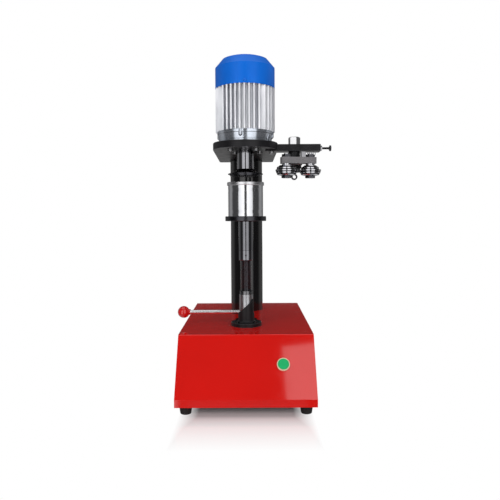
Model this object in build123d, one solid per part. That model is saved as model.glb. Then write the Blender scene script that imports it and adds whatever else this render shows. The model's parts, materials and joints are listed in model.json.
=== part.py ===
from build123d import *
from math import asin, atan2, cos, degrees, hypot, pi, radians, sin, sqrt
import os

os.makedirs("parts", exist_ok=True)

# Heights are above the ground. X and Y are first measured from the spindle axis,
# with the front at -Y, and every piece is moved by the origin shift when it is written.

# Base
base_width = 306.0
base_depth = 525.0
base_front = 188.0
base_front_top = 107.0
base_top = 160.0
crease_height = 37.0
skirt_height = 20.0
cover_wall = 2.0
cover_fit = 0.3
foot_side_inset = 22.0
foot_front_inset = 25.0
foot_back_inset = 32.0
foot_top_radius = 14.5
foot_bottom_radius = 12.0
foot_screw_radius = 3.0
foot_head_radius = 5.5
foot_head_depth = 12.0
foot_nut_flats = 10.0
tray_plate = 4.0
tray_flange = 16.0
mounting_plate_depth = 12.0
mounting_plate_width = 180.0
mounting_plate_front = 70.0
column_inset = 20.0
column_radius = 11.0
cover_screw_radius = 2.5
cover_screw_rise = 8.5
cover_screw_front = 60.0
cover_screw_inset = 67.0

# Start button
button_x = 82.0
button_share = 0.48
bezel_radius = 14.3
bezel_height = 4.6
bezel_floor = 1.0
bezel_rim = 1.9
barrel_radius = 11.0
barrel_length = 14.0
button_nut_flats = 27.0
cap_radius = 12.0
cap_thickness = 2.4
cap_stem_radius = 8.6
cap_stem = 8.0
cap_proud = 6.2
cap_travel = 2.5
button_gap = 0.4
plunger_radius = 3.0
plunger_length = 8.0
contact_side = 28.0
contact_depth = 30.0

# Pillar and head plate
pillar_height = 424.0
pillar_radius = 45.0
pillar_wall = 8.0
pillar_plug = 22.0
pillar_setback = 102.0
cable_hole = 9.0
pillar_pcd = 62.0
pillar_screw_radius = 5.0
pillar_screw_bite = 14.0
head_thickness = 16.0
head_width = 155.0
head_front = 78.0
head_front_corner = 77.0
head_back = 60.0
head_back_corner = 8.0
head_bore_radius = 21.0
flange_pcd = 87.0
flange_screw_radius = 4.0

# Motor
motor_turn = -9.5
shield_height = 26.0
shield_rim = 6.0
shield_low_radius = 63.0
shield_high_radius = 67.0
shield_wall = 7.0
frame_length = 101.5
motor_radius = 70.75
frame_body_radius = 59.0
frame_bore = 52.0
fin_count = 9
fin_pitch = 10.6
fin_thickness = 3.4
stator_bore = 33.0
stator_length = 70.0
air_gap = 0.5
shaft_radius = 9.5
shaft_end_radius = 8.5
bearing_radius = 20.0
bearing_width = 12.0
bearing_seat_depth = 10.0
rear_shield_height = 12.0
cover_length = 47.5
cover_shoulder = 20.0
cover_top_radius = 54.0
cover_dome = 10.0
cover_slots = 18
fan_cover_wall = 1.6
fan_radius = 52.0
fan_blades = 8
fan_standoff = 14.0
fan_hub_height = 18.0
fan_disc = 2.0
fan_height = 20.0
box_width = 74.0
box_height = 62.0
box_depth = 34.0
lid_depth = 12.0

# Spindle and chuck
spindle_drop = 45.0
adapter_radius = 20.0
chuck_height = 13.0
chuck_rim_radius = 42.0
chuck_rim_height = 3.0
chuck_lip_radius = 37.5
chuck_lip_height = 4.0
chuck_recess = 3.0
chuck_screw_radius = 3.0
chuck_tapping = 34.0

# Can, with its loose end laid in place
can_radius = 42.5
can_height = 81.5
can_wall = 0.7
chuck_gap = 0.3
seam_radius = 44.5
seam_height = 8.0
recess_depth = 6.0

# Lift
lift_travel = 18.2
handle_turn = 70.0
tray_radius = 49.5
tray_thickness = 11.5
tray_pin_radius = 10.0
tray_pin_length = 28.0
tray_gap = 0.5
running_fit = 0.05
lift_radius = 17.5
lift_length = 70.0
lift_wall = 3.5
collar_height = 24.0
collar_gap = 0.6
set_screw_radius = 2.2
rod_radius = 13.0
rod_below_top = 102.5
key_width = 5.0
key_depth = 2.0
lock_nut_radius = 16.0
lock_nut_height = 8.0
lock_nut_notch = 2.2
follower_radius = 17.0
follower_height = 58.5
cam_radius = 20.0
cam_base_height = 18.5
cam_step_angle = 155.0
cam_gap = 0.3
cam_flange_radius = 37.0
cam_flange_height = 9.0
cam_fillet = 5.0
cam_screw_pcd = 61.0
cam_screw_radius = 3.0
bush_radius = 16.5
handle_radius = 5.0
handle_above_cam = 14.3
knob_radius = 14.5
knob_x = 153.0

# Support bar and roller arm
bar_end = 179.0
bar_drop = 4.0
bar_height = 16.0
bar_half_width = 20.0
bar_seat = 48.0
bar_screw_radius = 3.0
pivot_x = 117.5
pivot_radius = 8.0
pivot_head_flats = 25.0
pivot_head_height = 18.5
pivot_nut_height = 9.0
hub_radius = 14.0
hub_wall = 3.0
hub_overhang = 8.0
arm_drop = 21.5
arm_height = 14.7
arm_length = 83.0
arm_width = 23.0
arm_stem = 42.0
roller_half_spacing = 28.25
arm_rest_angle = 8.4
roller_lip_radius = 24.0
roller_flange_radius = 25.5
roller_above_seam = 18.0
roller_below_seam = 5.5
groove_fit = 0.3
axle_radius = 6.0
axle_collar_radius = 10.5
axle_nut_flats = 19.0
axle_nut_height = 6.5
under_nut_flats = 20.5
under_nut_height = 5.5
roller_bore = 11.0
adjuster_radius = 2.75
adjuster_reach = 27.0
adjuster_knob_radius = 7.0
stop_nut_flats = 11.0
stop_nut_height = 5.0

# Worked out from the sizes above
base_back = base_depth - base_front
pillar_y = base_back - pillar_setback
head_bottom = base_top + pillar_height
head_top = head_bottom + head_thickness
frame_bottom = head_top + shield_height
frame_top = frame_bottom + frame_length
machine_top = frame_top + cover_length + cover_shoulder + cover_dome
adapter_bottom = head_bottom - spindle_drop
chuck_rim_bottom = adapter_bottom - chuck_height
can_top = chuck_rim_bottom - chuck_gap - lift_travel
can_bottom = can_top - can_height
tray_bottom = can_bottom - tray_thickness
lift_top = tray_bottom - tray_gap
lift_bottom = lift_top - lift_length
collar_bottom = lift_bottom - collar_height
rod_bottom = base_top - rod_below_top
cam_low = base_top + cam_base_height
lock_nut_bottom = cam_low + follower_height
handle_z = cam_low + handle_above_cam
cam_pitch = lift_travel / radians(handle_turn)
cam_rise = cam_pitch * pi
bar_top = head_top - bar_drop
bar_bottom = bar_top - bar_height
arm_top = head_bottom - arm_drop
arm_bottom = arm_top - arm_height
seam_top = can_top + lift_travel
roller_top = seam_top + roller_above_seam
roller_bottom = seam_top - roller_below_seam
gland_reach = 20.0
left_reach = knob_x + knob_radius
right_reach = bar_end + adjuster_reach
shift_x = (left_reach - right_reach) / 2
shift_y = (base_front - base_back - gland_reach) / 2
panel_run = base_front - base_front_top
panel_rise = base_top - crease_height
panel_length = hypot(panel_run, panel_rise)

pieces = {}


def disc(radius, low, high):
    """A plain round bar on the Z axis."""
    return Pos(0, 0, low) * Cylinder(radius, high - low, align=(Align.CENTER, Align.CENTER, Align.MIN))


def ring(outer, inner, low, high):
    return disc(outer, low, high) - disc(inner, low - 1, high + 1)


def turned(*points):
    """A solid of revolution about Z from its half section of (radius, height) points."""
    return revolve(Plane.XZ * make_face(Polyline(*points, close=True)), Axis.Z)


def block(x0, x1, y0, y1, z0, z1):
    return Pos((x0 + x1) / 2, (y0 + y1) / 2, (z0 + z1) / 2) * Box(x1 - x0, y1 - y0, z1 - z0)


def through(radius, x=0.0, y=0.0):
    """A cutter for an upright hole that passes right through its piece."""
    return Pos(x, y, 0) * Cylinder(radius, 3 * machine_top)


def hexagon(flats, low, high):
    return Pos(0, 0, low) * extrude(RegularPolygon(flats / 2, 6, major_radius=False), high - low)


def socket_screw(shank, length, head=None, head_height=None):
    """A cap screw with its head resting on Z 0 and its shank going down."""
    head = head or shank * 1.6
    head_height = head_height or shank * 1.6
    screw = disc(shank, -length, 0) + disc(head, 0, head_height)
    return screw - hexagon(head, head_height * 0.5, head_height + 1)


def add(name, *shapes):
    """Keep one or more solids as one node."""
    pieces[name] = shapes


# Base: folded cover, tray plate, mounting plate and feet
def base_profile(inset, floor):
    """Side outline of the folded base, moved in by the sheet's thickness."""
    lean = atan2(panel_run, panel_rise)
    step = inset * (1 - sin(lean)) / cos(lean)
    low_step = inset * (1 - cos(lean)) / sin(lean)
    return make_face(Polyline(
        (-base_front + inset, floor), (-base_front + inset, crease_height - low_step * 0.5),
        (-base_front_top + step, base_top - inset), (base_back - inset, base_top - inset),
        (base_back - inset, floor), close=True))


def across(profile, width):
    """Carry an outline drawn in Y and Z across the machine's width."""
    return extrude(Plane.YZ * profile, width / 2, both=True)


button_y = -base_front_top - panel_run * button_share
button_z = base_top - panel_rise * button_share
button_plane = Plane(origin=(button_x, button_y, button_z), x_dir=(1, 0, 0),
                     z_dir=(0, -panel_rise / panel_length, panel_run / panel_length))
gland_x = -90.0
gland_z = 70.0
gland_radius = 8.0
foot_x = base_width / 2 - foot_side_inset
feet = [(x, y) for x in (-foot_x, foot_x) for y in (foot_front_inset - base_front,
                                                    base_back - foot_back_inset)]
mounting_back = pillar_y + pillar_radius + 30
plate_low = base_top - cover_wall - mounting_plate_depth
tray_top = skirt_height + tray_plate
column_x = mounting_plate_width / 2 - column_inset
columns = [(x, y) for x in (-column_x, column_x)
           for y in (column_inset - mounting_plate_front, mounting_back - column_inset)]
cover_screw_z = skirt_height + cover_screw_rise

outer_base = across(base_profile(0, skirt_height), base_width)
outer_base = fillet(outer_base.edges().filter_by(Axis.X).group_by(Axis.Z)[-1], 3)
cover_holes = [through(cable_hole, 0, pillar_y), through(bush_radius + cover_fit)]
cam_spots = [(cam_screw_pcd / 2 * cos(radians(45 + 90 * k)), cam_screw_pcd / 2 * sin(radians(45 + 90 * k)))
             for k in range(4)]
pillar_spots = [(pillar_pcd / 2 * cos(radians(45 + 90 * k)), pillar_pcd / 2 * sin(radians(45 + 90 * k)))
                for k in range(4)]
for x, y in pillar_spots:
    cover_holes.append(through(pillar_screw_radius + cover_fit, x, pillar_y + y))
for spot in cam_spots:
    cover_holes.append(through(cam_screw_radius + cover_fit, *spot))
cover_holes.append(button_plane.location * Cylinder(barrel_radius + cover_fit, 40))
gland_seat = Pos(gland_x, base_back, gland_z) * Rot(90, 0, 0)
cover_holes.append(gland_seat * Cylinder(gland_radius + cover_fit, 20))
side_screws = [(side, y) for side in (-1, 1) for y in (cover_screw_front, base_back - cover_screw_inset)]
for side, y in side_screws:
    hole = Rot(0, 90, 0) * Cylinder(cover_screw_radius + cover_fit, 20)
    cover_holes.append(Pos(side * base_width / 2, y, cover_screw_z) * hole)
add("base_cover", outer_base - across(base_profile(cover_wall, skirt_height - 1),
                                      base_width - 2 * cover_wall)
    - cover_holes)

inner_half = base_width / 2 - cover_wall - cover_fit
tray_front = -base_front + cover_wall + cover_fit
tray_back = base_back - cover_wall - cover_fit
bottom_tray = block(-inner_half, inner_half, tray_front, tray_back, skirt_height,
                    skirt_height + tray_flange)
bottom_tray -= block(-inner_half + tray_plate, inner_half - tray_plate, tray_front + tray_plate,
                     tray_back - tray_plate, tray_top, 100)
bottom_tray -= block(-inner_half - 1, inner_half + 1, tray_front - 1, tray_front + 9, tray_top, 100)
for spot in feet:
    bottom_tray -= through(foot_screw_radius, *spot)
for side, y in side_screws:
    hole = Rot(0, 90, 0) * Cylinder(cover_screw_radius, 20)
    bottom_tray -= Pos(side * inner_half, y, cover_screw_z) * hole
add("bottom_tray", bottom_tray)

foot = turned((0, 0), (foot_bottom_radius - 1, 0), (foot_bottom_radius, 1),
              (foot_top_radius, skirt_height - 1.5),
              (foot_top_radius, skirt_height), (0, skirt_height))
foot -= disc(foot_head_radius + cover_fit, -1, foot_head_depth) + through(foot_screw_radius)
add("rubber_feet", *[Pos(*spot, 0) * foot for spot in feet])
foot_screw = disc(foot_screw_radius, foot_head_depth - 1, tray_top + 8)
foot_screw += disc(foot_head_radius, foot_head_depth - 4, foot_head_depth)
foot_screw += hexagon(foot_nut_flats, tray_top, tray_top + foot_nut_flats / 2)
cover_screw = socket_screw(cover_screw_radius, 8, 4.5, 2.5)
add("base_screws", *[Pos(*spot, 0) * foot_screw for spot in feet],
    *[Pos(side * base_width / 2, y, cover_screw_z) * Rot(0, 90 * side, 0) * cover_screw for side,
      y in side_screws])

plate_top = base_top - cover_wall
mounting_plate = block(-mounting_plate_width / 2, mounting_plate_width / 2, -mounting_plate_front,
                       mounting_back,
                       plate_low, plate_top)
mounting_plate -= through(bush_radius + running_fit) + through(cable_hole, 0, pillar_y)
for spot in cam_spots:
    mounting_plate -= through(cam_screw_radius, *spot)
for x, y in pillar_spots:
    mounting_plate -= through(pillar_screw_radius, x, pillar_y + y)
add("mounting_plate", mounting_plate)
add("plate_columns", *[disc(column_radius, tray_top, plate_low).moved(Pos(*spot, 0)) for spot in columns])

gland_body = turned((3.5, 0), (11, 0), (11, 6), (10, 6.5), (10, gland_reach - 4), (7.5, gland_reach),
                    (3.5, gland_reach))
gland_body += ring(gland_radius, 3.5, -10, 0.5)
gland_body += hexagon(20, -cover_wall - 5, -cover_wall) - disc(3.5, -40, 40)

# Start button, square to the slanted panel
bezel = turned((cap_stem_radius + button_gap, -barrel_length), (barrel_radius, -barrel_length),
               (barrel_radius, 0),
               (bezel_radius, 0), (bezel_radius, bezel_height - bezel_rim / 2),
               (bezel_radius - bezel_rim / 2, bezel_height),
               (cap_radius + button_gap, bezel_height), (cap_radius + button_gap, bezel_floor),
               (cap_stem_radius + button_gap, bezel_floor))
add("button_bezel", button_plane.location * bezel)
cap = turned((0, -cap_stem), (cap_stem_radius, -cap_stem), (cap_stem_radius, cap_proud - cap_thickness),
             (cap_radius, cap_proud - cap_thickness), (cap_radius, cap_proud - 0.8),
             (cap_radius - 0.8, cap_proud),
             (0, cap_proud))
plunger_end = cap_stem + plunger_length
cap += disc(plunger_radius, -plunger_end, -cap_stem)
add("button_cap", button_plane.location * cap)
add("button_nut", button_plane.location * (hexagon(button_nut_flats, -cover_wall - 5, -cover_wall)
                                          - through(barrel_radius)))
contact = block(-contact_side / 2, contact_side / 2, -contact_side / 2, contact_side / 2,
                -barrel_length - contact_depth, -barrel_length)
contact -= disc(plunger_radius + button_gap, -plunger_end - cap_travel - 2, 0)
add("contact_block", button_plane.location * contact)

# Pillar and head plate
pillar = ring(pillar_radius, pillar_radius - pillar_wall, base_top, head_bottom)
pillar += ring(pillar_radius - 1, cable_hole, base_top, base_top + pillar_plug)
pillar += ring(pillar_radius - 1, cable_hole, head_bottom - pillar_plug, head_bottom)
for spot in pillar_spots:
    pillar -= Pos(*spot, 0) * disc(pillar_screw_radius, base_top - 1, base_top + pillar_screw_bite + 2)
    pillar -= Pos(*spot, 0) * disc(pillar_screw_radius, head_bottom - pillar_screw_bite - 2,
                                   head_bottom + 1)
add("pillar", Pos(0, pillar_y, 0) * pillar)
low_screw = Rot(180, 0, 0) * socket_screw(pillar_screw_radius, base_top + pillar_screw_bite - plate_low)
screw_sink = 9.0
high_screw = socket_screw(pillar_screw_radius, head_thickness - screw_sink + pillar_screw_bite)
add("pillar_screws", *[Pos(x, pillar_y + y, plate_low) * low_screw for x, y in pillar_spots],
    *[Pos(x, pillar_y + y, head_top - screw_sink) * high_screw for x, y in pillar_spots])

head_rear = pillar_y + head_back
outline = Pos(0, (head_rear - head_front) / 2) * Rectangle(head_width, head_rear + head_front)
outline = fillet(outline.vertices().group_by(Axis.Y)[0], head_front_corner)
outline = fillet(outline.vertices().group_by(Axis.Y)[-1], head_back_corner)
head = Pos(0, 0, head_bottom) * extrude(outline, head_thickness)
head = chamfer(head.edges().group_by(Axis.Z)[-1], 1.0)
head -= through(head_bore_radius) + through(cable_hole, 0, pillar_y)
for x, y in pillar_spots:
    head -= through(pillar_screw_radius, x, pillar_y + y)
    head -= Pos(x, pillar_y + y, 0) * disc(pillar_screw_radius * 1.6 + 0.5, head_top - screw_sink,
                                           head_top + 1)
flange_spots = [(flange_pcd / 2 * sin(radians(motor_turn + 45 + 90 * k)),
                 -flange_pcd / 2 * cos(radians(motor_turn + 45 + 90 * k))) for k in range(4)]
for x, y in flange_spots:
    head -= through(flange_screw_radius, x, y)
bar_screw_x = (bar_seat + head_width / 2) / 2
bar_screw_spots = [(bar_screw_x, side * bar_half_width * 0.6) for side in (-1, 1)]
head -= block(bar_seat, head_width, -bar_half_width, bar_half_width, head_bottom - 1, bar_top)
bar_screw_length = bar_height + bar_drop * 0.5
for x, y in bar_screw_spots:
    head -= Pos(x, y, 0) * disc(bar_screw_radius, head_bottom, bar_bottom + bar_screw_length)
add("head_plate", head)
flange_screw = Rot(180, 0, 0) * socket_screw(flange_screw_radius, head_thickness + bearing_seat_depth - 2,
                                             6.5, 5.0)

# Motor: finned frame, shields, stator, rotor and fan
fins = Circle(frame_body_radius)
for quarter in range(4):
    for number in range(fin_count):
        offset = (number - (fin_count - 1) / 2) * fin_pitch
        reach = sqrt(motor_radius ** 2 - (abs(offset) + fin_thickness / 2) ** 2)
        fin = Rectangle(fin_thickness, reach)
        fins += Rot(0, 0, 90 * quarter + motor_turn) * Pos(offset, -reach / 2) * fin
motor_frame = Pos(0, 0, frame_bottom) * extrude(fins, frame_length)
motor_frame -= through(frame_bore)
box_y = frame_body_radius + 6
box_z = (frame_bottom + frame_top) / 2
box_seat = block(-box_width / 2 + 4, box_width / 2 - 4, frame_body_radius - 14, box_y,
                 box_z - box_height / 2, box_z + box_height / 2) - through(frame_bore)
clear_box = block(-box_width / 2, box_width / 2, box_y, box_y + box_depth, box_z - box_height / 2 - 2,
                  box_z + box_height / 2 + 2)
motor_frame = motor_frame - Rot(0, 0, motor_turn) * clear_box + Rot(0, 0, motor_turn) * box_seat
add("motor_frame", motor_frame)

spigot = 4.0
shield_floor = head_top + bearing_seat_depth
bearing_seat = head_top + bearing_seat_depth - 2
seat_top = bearing_seat + bearing_width + 2
shield_bore = head_bore_radius - 6
shield = turned((shield_bore, head_top), (shield_low_radius, head_top), (shield_low_radius, head_top + 4),
                (shield_low_radius + 1, head_top + 8), (shield_high_radius - 1,
                                                        frame_bottom - shield_rim - 1),
                (shield_high_radius, frame_bottom - shield_rim), (shield_high_radius, frame_bottom),
                (frame_bore - running_fit, frame_bottom), (frame_bore - running_fit, frame_bottom + spigot),
                (frame_bore - shield_wall, frame_bottom + spigot), (frame_bore - shield_wall, shield_floor),
                (bearing_radius + 6, shield_floor), (bearing_radius + 6, seat_top),
                (bearing_radius, seat_top),
                (bearing_radius, bearing_seat), (shield_bore, bearing_seat))
lug_radius = 4.5
for quarter in range(4):
    lug = disc(lug_radius, frame_bottom - 12, frame_bottom)
    lug += Pos(0, 0, frame_bottom - 12) * Sphere(lug_radius)
    shield += Rot(0, 0, 90 * quarter + motor_turn) * Pos(0, -shield_high_radius + lug_radius - 1.5, 0) * lug
for x, y in flange_spots:
    shield -= Pos(x, y, 0) * disc(flange_screw_radius, head_top - 1, shield_floor - 1)
add("end_shield", shield)

rear = turned((shaft_radius + 0.6, frame_top), (shaft_radius + 0.6, frame_top - 2),
              (bearing_radius, frame_top - 2),
              (bearing_radius, frame_top - 2 - bearing_width),
              (bearing_radius + 5, frame_top - 2 - bearing_width),
              (bearing_radius + 5, frame_top - 4), (frame_bore - 0.05, frame_top - 4),
              (frame_bore - 0.05, frame_top),
              (motor_radius - 5, frame_top), (motor_radius - 5, frame_top + 4),
              (shaft_radius + 0.6, frame_top + 4))
cover_lugs = [radians(30 + 120 * k) for k in range(3)]
for angle in cover_lugs:
    lug = block(motor_radius - 16, motor_radius - fan_cover_wall - cover_fit, -5, 5, frame_top,
                frame_top + rear_shield_height)
    rear += Rot(0, 0, degrees(angle)) * lug
for angle in cover_lugs:
    hole = Rot(0, 90, 0) * Cylinder(2, 20)
    rear -= Rot(0, 0, degrees(angle)) * Pos(motor_radius, 0, frame_top + 7) * hole
add("rear_shield", rear)

stator_low = (frame_bottom + frame_top - stator_length) / 2
stator_high = stator_low + stator_length
add("stator_core", ring(frame_bore - 0.02, stator_bore, stator_low, stator_high))
coil_end = turned((stator_bore + 4, 0), (frame_bore - 8, 0), (frame_bore - 6, 4), (frame_bore - 8, 8),
                  (stator_bore + 6, 8), (stator_bore + 3, 4))
add("stator_windings", Pos(0, 0, stator_high) * coil_end, Pos(0, 0, stator_low) * Rot(180, 0, 0) * coil_end)
front_bearing_z = bearing_seat
rear_bearing_z = frame_top - 2 - bearing_width


def bearing(outer, inner, low, width):
    """Ball bearing with its groove between the rings."""
    middle = (outer + inner) / 2
    body = ring(outer, inner, low, low + width)
    body -= ring(middle + 2, middle - 2, low + width - 1, low + width + 1)
    return body - ring(middle + 2, middle - 2, low - 1, low + 1)


add("motor_bearings", bearing(bearing_radius - 0.02, shaft_radius + running_fit, front_bearing_z,
                              bearing_width),
    bearing(bearing_radius - 0.02, shaft_radius + running_fit, rear_bearing_z, bearing_width))

fan_z = frame_top + fan_standoff
shaft = disc(shaft_radius, adapter_bottom + 16, rear_bearing_z + bearing_width)
shaft += disc(shaft_end_radius, rear_bearing_z + bearing_width - 1, fan_z + fan_hub_height + 4)
shaft = chamfer(shaft.edges().group_by(Axis.Z)[0], 1.0)
shaft -= disc(chuck_screw_radius, adapter_bottom, adapter_bottom + chuck_tapping)
add("rotor_shaft", shaft)
rotor = ring(stator_bore - air_gap, shaft_radius, stator_low, stator_high)
add("rotor_core", rotor)
fan = ring(shaft_end_radius + 5, shaft_end_radius, fan_z, fan_z + fan_hub_height)
fan += ring(fan_radius, shaft_end_radius + 4, fan_z, fan_z + fan_disc)
for blade in range(fan_blades):
    fan += Rot(0, 0, 360 / fan_blades * blade) * block(shaft_end_radius + 4, fan_radius - 2, -1, 1,
                                                      fan_z + fan_disc / 2, fan_z + fan_height)
add("cooling_fan", fan)

shoulder_z = frame_top + cover_length
dome_z = shoulder_z + cover_shoulder


def cover_outline(inset):
    """Half section of the fan cover, moved in by the sheet's thickness."""
    edge = cover_top_radius - inset * 0.6
    low = frame_top - (2 if inset else 0)
    rim = dome_z - inset * 0.9
    top = rim + cover_dome
    sphere = (edge ** 2 + cover_dome ** 2) / (2 * cover_dome)
    half = (edge / 2, top - sphere + sqrt(sphere ** 2 - edge ** 2 / 4))
    return make_face(Polyline((0, top), (0, low), (motor_radius - inset, low),
                              (motor_radius - inset, shoulder_z - inset * 0.3), (edge, rim))
                     + ThreePointArc((edge, rim), half, (0, top)))


fan_cover = revolve(Plane.XZ * cover_outline(0), Axis.Z)
fan_cover -= revolve(Plane.XZ * cover_outline(fan_cover_wall), Axis.Z)
for number in range(cover_slots):
    slot = block(cover_top_radius * 0.35, cover_top_radius * 0.85, -2.4, 2.4, dome_z - 5, machine_top + 5)
    fan_cover -= Rot(0, 0, 360 / cover_slots * number) * slot
for angle in cover_lugs:
    hole = Rot(0, 90, 0) * Cylinder(2.3, 20)
    fan_cover -= Rot(0, 0, degrees(angle)) * Pos(motor_radius, 0, frame_top + 7) * hole
add("fan_cover", fan_cover)

box_gland_y = box_y + 14
turned_box = Rot(0, 0, motor_turn) * Pos(0, 0, box_z)
terminal_box = block(-box_width / 2, box_width / 2, box_y, box_y + box_depth - lid_depth, -box_height / 2,
                     box_height / 2)
terminal_box -= block(-box_width / 2 + 3, box_width / 2 - 3, box_y + 4, box_y + 60, -box_height / 2 + 3,
                      box_height / 2 - 3)
terminal_box -= Pos(0, box_gland_y, -box_height / 2) * Cylinder(6.3, 20)
add("terminal_box", turned_box * terminal_box)
lid = block(-box_width / 2, box_width / 2, box_y + box_depth - lid_depth, box_y + box_depth,
            -box_height / 2,
            box_height / 2)
lid = fillet(lid.edges().group_by(Axis.Y)[-1], 3)
lid_screw = Rot(-90, 0, 0) * socket_screw(2.0, 6, 3.6, 2.0)
lid_spots = [Pos(sx * (box_width / 2 - 8), box_y + box_depth, sz * (box_height / 2 - 8))
             for sx in (-1, 1) for sz in (-1, 1)]
for spot in lid_spots:
    lid -= spot * Rot(90, 0, 0) * Cylinder(2.0, 12)
cover_pin = socket_screw(2.0, 9, 3.4, 2.0)
cover_pins = [Rot(0, 0, degrees(a)) * Pos(motor_radius, 0, frame_top + 7) * Rot(0, 90, 0) * cover_pin
              for a in cover_lugs]
add("motor_cover_screws", *cover_pins, *[turned_box * spot * lid_screw for spot in lid_spots])
add("terminal_lid", turned_box * lid)
box_gland = turned((3, -14), (6, -14), (7.4, -11), (7.4, 0), (6.2, 0), (6.2, 6), (3, 6))
add("cable_glands", Pos(gland_x, base_back, gland_z) * Rot(-90, 0, 0) * gland_body,
    turned_box * Pos(0, box_gland_y, -box_height / 2) * box_gland)

# Spindle adapter and seaming chuck
adapter_top = head_top - 4
add("spindle_adapter", ring(adapter_radius, shaft_radius, adapter_bottom, adapter_top))
lip_bottom = chuck_rim_bottom - chuck_lip_height
chuck_rim_top = chuck_rim_bottom + chuck_rim_height
chuck_section = (Polyline((chuck_screw_radius, lip_bottom + chuck_recess), (9, lip_bottom + chuck_recess),
                          (9, lip_bottom),
                          (chuck_lip_radius - 1, lip_bottom), (chuck_lip_radius, lip_bottom + 1),
                          (chuck_lip_radius, chuck_rim_bottom), (chuck_rim_radius, chuck_rim_bottom),
                          (chuck_rim_radius, chuck_rim_top - 1), (chuck_rim_radius - 3, chuck_rim_top))
                 + ThreePointArc((chuck_rim_radius - 3, chuck_rim_top),
                                 (adapter_radius + 8.5, chuck_rim_top + 3.4),
                                 (adapter_radius + 1, adapter_bottom))
                 + Polyline((adapter_radius + 1, adapter_bottom), (chuck_screw_radius, adapter_bottom),
                            (chuck_screw_radius, lip_bottom + chuck_recess)))
add("chuck", revolve(Plane.XZ * make_face(chuck_section), Axis.Z))
chuck_screw = Rot(180, 0, 0) * socket_screw(chuck_screw_radius,
                                            adapter_bottom + 30 - lip_bottom - chuck_recess, 7.0, 2.8)
add("chuck_screw", Pos(0, 0, lip_bottom + chuck_recess) * chuck_screw)

# Can on the tray
end_z = can_top - seam_height
can = turned((0, can_bottom), (can_radius - 1.5, can_bottom), (can_radius, can_bottom + 1.5),
             (can_radius, end_z),
             (can_radius - can_wall, end_z), (can_radius - can_wall, can_bottom + 1.5),
             (can_radius - 2, can_bottom + 1), (0, can_bottom + 1))
add("can_body", can)
recess_radius = chuck_lip_radius + cover_fit
end = turned((0, can_top - recess_depth), (recess_radius, can_top - recess_depth),
             (recess_radius, can_top - 1),
             (recess_radius + 1, can_top), (seam_radius - 1, can_top), (seam_radius, can_top - 1),
             (seam_radius, end_z + 0.6), (seam_radius - 0.6, end_z), (can_radius - can_wall, end_z),
             (can_radius - can_wall, can_top - recess_depth - 1), (0, can_top - recess_depth - 1))
add("can_end", end)

# Tray and its bearing at the head of the lift shaft
tray = turned((0, tray_bottom - tray_pin_length), (tray_pin_radius, tray_bottom - tray_pin_length),
              (tray_pin_radius, tray_bottom), (tray_radius - 1, tray_bottom),
              (tray_radius, tray_bottom + 1),
              (tray_radius, can_bottom - 1), (tray_radius - 1, can_bottom), (0, can_bottom))
add("tray", tray)
sleeve_radius = lift_radius - lift_wall
shaft_body = disc(lift_radius, lift_bottom, lift_top)
shaft_body = chamfer(shaft_body.edges().group_by(Axis.Z)[-1], 0.8)
shaft_body -= disc(sleeve_radius, tray_bottom - tray_pin_length - 1, lift_top + 1)
add("lift_shaft", shaft_body)
add("tray_bearing", ring(sleeve_radius, tray_pin_radius + running_fit, tray_bottom - tray_pin_length,
                         lift_top - 0.3))
collar = ring(lift_radius, rod_radius, collar_bottom, lift_bottom - collar_gap)
collar = chamfer(collar.edges().group_by(Axis.Z)[0], 0.8)
set_screw = Pos(0, -lift_radius + 1.2, (collar_bottom + lift_bottom) / 2) * Rot(90, 0, 0)
collar -= set_screw * Cylinder(set_screw_radius, 8)
add("lift_collar", collar)
rod = disc(rod_radius, rod_bottom, lift_bottom)
rod = chamfer(rod.edges().group_by(Axis.Z)[0], 1.0)
rod -= block(-key_width / 2, key_width / 2, rod_radius - key_depth, rod_radius + 2, rod_bottom - 1, cam_low)
add("threaded_rod", rod)
lock_nut = ring(lock_nut_radius, rod_radius, lock_nut_bottom, lock_nut_bottom + lock_nut_height)
for quarter in range(4):
    lock_nut -= Rot(0, 0, 45 + 90 * quarter) * block(lock_nut_radius - 1.6, lock_nut_radius + 1,
                                                     -lock_nut_notch, lock_nut_notch,
                                                     lock_nut_bottom - 1,
                                                     lock_nut_bottom + lock_nut_height + 1)
add("lift_lock_nut", lock_nut)

# Two-start face cam that turns the handle's swing into lift
ramp_depth = 60.0


def ramp(lift):
    """Everything under one half turn of the cam's helical face, moved up by a gap."""
    inner, outer = rod_radius - 4, cam_radius + 6
    middle = (inner + outer) / 2
    path = Helix(pitch=2 * cam_rise, height=cam_rise, radius=middle)
    section = Plane.XZ * (Pos(middle, -ramp_depth / 2) * Rectangle(outer - inner, ramp_depth))
    return Pos(0, 0, lift) * sweep(section, path=path, is_frenet=True)


def both_ramps(lift, turn=0.0):
    return [Rot(0, 0, cam_step_angle + turn + 180 * k) * ramp(cam_low + lift) for k in range(2)]


flange_top = base_top + cam_flange_height
cam_wall = ring(cam_radius, rod_radius + cover_fit, flange_top, cam_low + cam_rise + 1)
cam = ring(cam_radius, rod_radius + cover_fit, flange_top, cam_low)
for half in both_ramps(0):
    cam += cam_wall & half
foot_section = make_face(Polyline((rod_radius, base_top), (cam_flange_radius, base_top),
                                  (cam_flange_radius, flange_top - 1), (cam_flange_radius - 1, flange_top),
                                  (cam_radius + cam_fillet, flange_top))
                         + RadiusArc((cam_radius + cam_fillet, flange_top),
                                     (cam_radius, flange_top + cam_fillet),
                                     cam_fillet)
                         + Polyline((cam_radius, flange_top + cam_fillet),
                                    (rod_radius, flange_top + cam_fillet),
                                    (rod_radius, base_top)))
cam += revolve(Plane.XZ * foot_section, Axis.Z)
bush_top = cam_low - 4
cam -= through(rod_radius + cover_fit) + disc(bush_radius + running_fit, 0, bush_top)
for x, y in cam_spots:
    cam -= through(cam_screw_radius, x, y)
add("cam_base", cam)
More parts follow.
